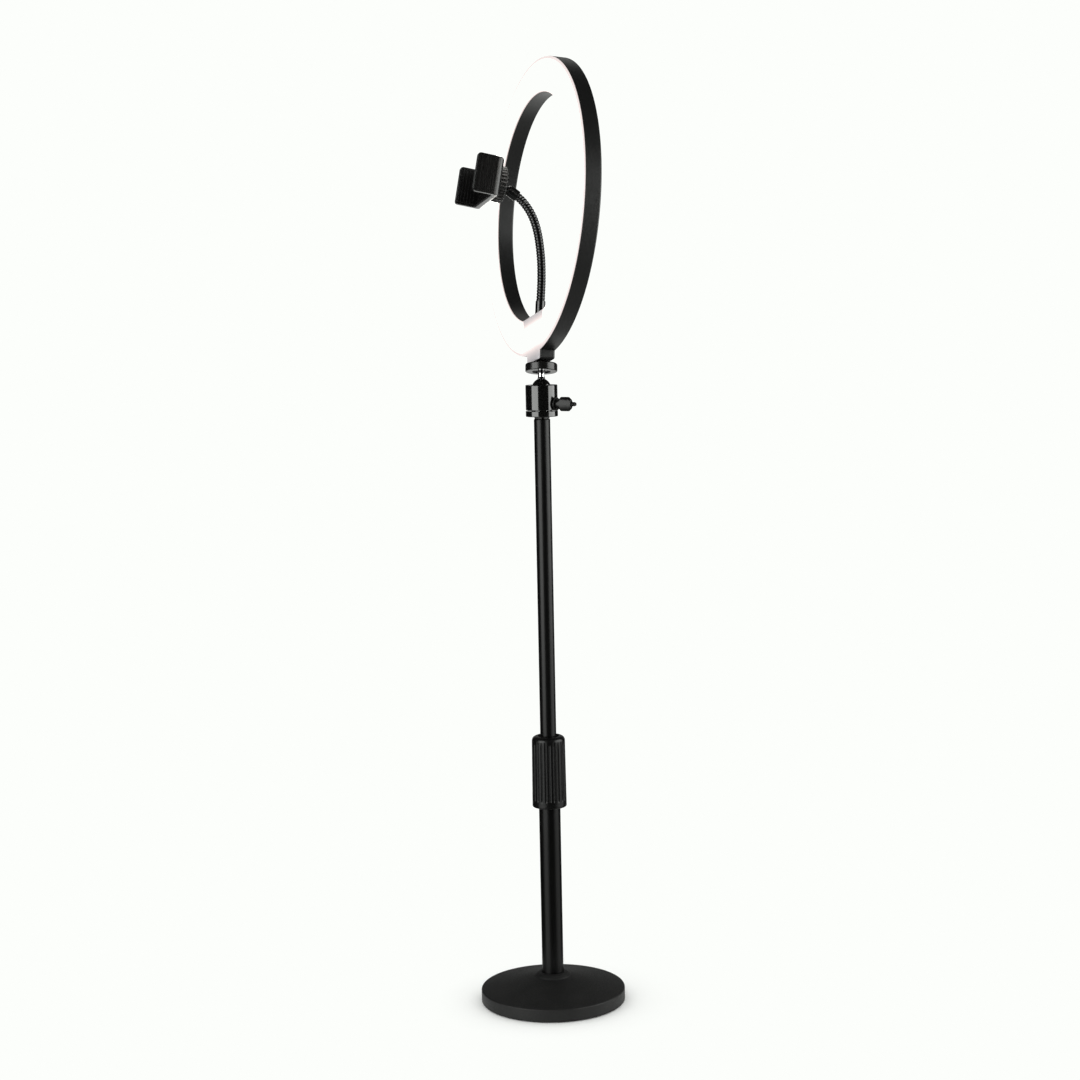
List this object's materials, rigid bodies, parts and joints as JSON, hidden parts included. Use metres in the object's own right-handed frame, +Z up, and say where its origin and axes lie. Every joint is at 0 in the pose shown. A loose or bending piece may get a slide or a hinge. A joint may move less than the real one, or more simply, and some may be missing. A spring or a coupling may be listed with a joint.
{
  "type": "ring light",
  "caption": "Ring light on a round weighted base, with a telescopic tube, twist clutch, ball head, flexible arm and sprung phone clamp.",
  "frame": {"origin": "centre of the underside of the foot pad, on the stand tube axis, where the light meets the table", "axes": "+Z up the stand tube; the lit face of the ring looks towards -Y; +X is across the ring, and the ring stands leaning towards -X"},
  "size_m": [0.26, 0.128, 0.8312],
  "materials": {
    "cast_black": "fine-textured matte black powder coat",
    "tube_black": "satin black paint",
    "head_black": "gloss black anodised",
    "plastic_black": "satin black",
    "knob_black": "gloss black",
    "rubber_black": "matte",
    "hose_black": "satin black, ridged",
    "chrome": "polished",
    "steel": "plain",
    "brass": "plain",
    "nylon": "natural",
    "diffuser": "opal white, glowing",
    "guide": "clear to opal",
    "board": "white circuit board",
    "board_green": "circuit board"
  },
  "bodies": {
    "stand": {"base_plate": "cast_black", "base_pad": "rubber_black", "base_bolt": "steel", "base_washer": "steel", "tube_plug": "steel", "lower_tube": "tube_black", "clutch_ferrule": "plastic_black", "clutch_collet": "nylon"},
    "grip": {"clutch_grip": "rubber_black"},
    "mast": {"upper_tube": "tube_black", "upper_tube_foot": "nylon", "head_stud": "tube_black", "head_base": "head_black"},
    "head": {"head_housing": "head_black", "ball_seat": "nylon", "lock_shoe": "brass", "lock_washer": "knob_black"},
    "knob": {"lock_knob": "knob_black", "lock_screw": "knob_black"},
    "ball": {"ball": "head_black"},
    "stem": {"ball_stem": "chrome"},
    "disc": {"locking_disc": "head_black", "disc_pad": "rubber_black"},
    "ring": {"ring_shell": "plastic_black", "ring_diffuser": "diffuser", "light_guide": "guide", "led_board": "board", "driver_board": "board_green", "thread_insert": "brass", "power_inlet": "plastic_black", "case_screw_1": "steel", "case_screw_2": "steel", "case_screw_3": "steel", "case_screw_4": "steel", "case_screw_5": "steel", "case_screw_6": "steel"},
    "arm_foot": {"arm_ferrule": "hose_black", "arm_nut": "steel"},
    "arm_1": {"arm_link_1": "hose_black"},
    "arm_2": {"arm_link_2": "hose_black"},
    "arm_3": {"arm_link_3": "hose_black"},
    "arm_4": {"arm_link_4": "hose_black"},
    "arm_5": {"arm_link_5": "hose_black"},
    "arm_tip": {"arm_sleeve": "plastic_black", "holder_ball": "tube_black"},
    "socket": {"socket_liner": "nylon"},
    "clamp": {"clamp_body": "plastic_black", "fixed_pad": "rubber_black", "clamp_spring": "steel"},
    "jaw": {"sliding_jaw": "plastic_black", "sliding_pad": "rubber_black"},
    "collar": {"collar_nut": "plastic_black"}
  },
  "joints": [
    {"name": "grip_turn", "type": "hinge", "parent": "stand", "child": "grip", "pos_m": [0, 0, 0.208], "axis": [0, 0, 1], "range_deg": [0, 150]},
    {"name": "height_slide", "type": "slide", "parent": "stand", "child": "mast", "axis": [0, 0, 1], "range_m": [-0.12, 0.01]},
    {"name": "head_pan", "type": "hinge", "parent": "mast", "child": "head", "pos_m": [0, 0, 0.5266], "axis": [0, 0, 1], "range_deg": [-180, 180]},
    {"name": "knob_turn", "type": "hinge", "parent": "head", "child": "knob", "pos_m": [0, 0, 0.5322], "axis": [0.788, 0.6157, 0], "range_deg": [0, 180]},
    {"name": "ball_tilt", "type": "hinge", "parent": "head", "child": "ball", "pos_m": [0, 0, 0.5459], "axis": [1, 0, 0], "range_deg": [-20, 35]},
    {"name": "ball_lean", "type": "hinge", "parent": "ball", "child": "stem", "pos_m": [0, 0, 0.5459], "axis": [0, 1, 0], "range_deg": [-15, 35]},
    {"name": "disc_turn", "type": "hinge", "parent": "stem", "child": "disc", "pos_m": [0, 0, 0.5459], "axis": [-0.2079, 0.0888, 0.9741], "range_deg": [0, 270]},
    {"name": "ring_turn", "type": "hinge", "parent": "stem", "child": "ring", "pos_m": [0, 0, 0.5459], "axis": [-0.2079, 0.0888, 0.9741], "range_deg": [-45, 45]},
    {"name": "arm_turn", "type": "hinge", "parent": "ring", "child": "arm_foot", "pos_m": [-0.01252, 0.00405, 0.60466], "axis": [-0.2077, 0.1334, 0.969], "range_deg": [-30, 30]},
    {"name": "arm_bend_1", "type": "hinge", "parent": "arm_foot", "child": "arm_1", "pos_m": [-0.01622, 0.00643, 0.62193], "axis": [0.9781, 0.0189, 0.2071], "range_deg": [-5, 5]},
    {"name": "arm_bend_2", "type": "hinge", "parent": "arm_1", "child": "arm_2", "pos_m": [-0.02038, 0.009, 0.64133], "axis": [0.9781, 0.0189, 0.2071], "range_deg": [-5, 5]},
    {"name": "arm_bend_3", "type": "hinge", "parent": "arm_2", "child": "arm_3", "pos_m": [-0.02453, 0.01008, 0.66088], "axis": [0.9781, 0.0189, 0.2071], "range_deg": [-5, 5]},
    {"name": "arm_bend_4", "type": "hinge", "parent": "arm_3", "child": "arm_4", "pos_m": [-0.02911, 0.00855, 0.68263], "axis": [0.9781, 0.0189, 0.2071], "range_deg": [-5, 5]},
    {"name": "arm_bend_5", "type": "hinge", "parent": "arm_4", "child": "arm_5", "pos_m": [-0.03239, 0.00338, 0.69862], "axis": [0.9781, 0.0189, 0.2071], "range_deg": [-5, 5]},
    {"name": "arm_bend_6", "type": "hinge", "parent": "arm_5", "child": "arm_tip", "pos_m": [-0.03487, -0.00671, 0.71123], "axis": [0.9781, 0.0189, 0.2071], "range_deg": [-5, 5]},
    {"name": "holder_tilt", "type": "hinge", "parent": "arm_tip", "child": "socket", "pos_m": [-0.0368, -0.02013, 0.72159], "axis": [0.9909, -0.061, 0.1202], "range_deg": [-40, 12]},
    {"name": "holder_roll", "type": "hinge", "parent": "socket", "child": "clamp", "pos_m": [-0.0368, -0.02013, 0.72159], "axis": [0.085, 0.975, -0.2054], "range_deg": [-90, 90]},
    {"name": "collar_turn", "type": "hinge", "parent": "clamp", "child": "collar", "pos_m": [-0.0368, -0.02013, 0.72159], "axis": [0.085, 0.975, -0.2054], "range_deg": [0, 180]},
    {"name": "jaw_slide", "type": "slide", "parent": "clamp", "child": "jaw", "axis": [0.9909, -0.061, 0.1202], "range_m": [0, 0.028], "stiffness_N_per_m": 150, "springref_m": -0.012}
  ],
  "couplings": [
    {"joint": "arm_bend_2", "follows": "arm_bend_1", "ratio": 1},
    {"joint": "arm_bend_3", "follows": "arm_bend_1", "ratio": 1},
    {"joint": "arm_bend_4", "follows": "arm_bend_1", "ratio": 1},
    {"joint": "arm_bend_5", "follows": "arm_bend_1", "ratio": 1},
    {"joint": "arm_bend_6", "follows": "arm_bend_1", "ratio": 1}
  ]
}
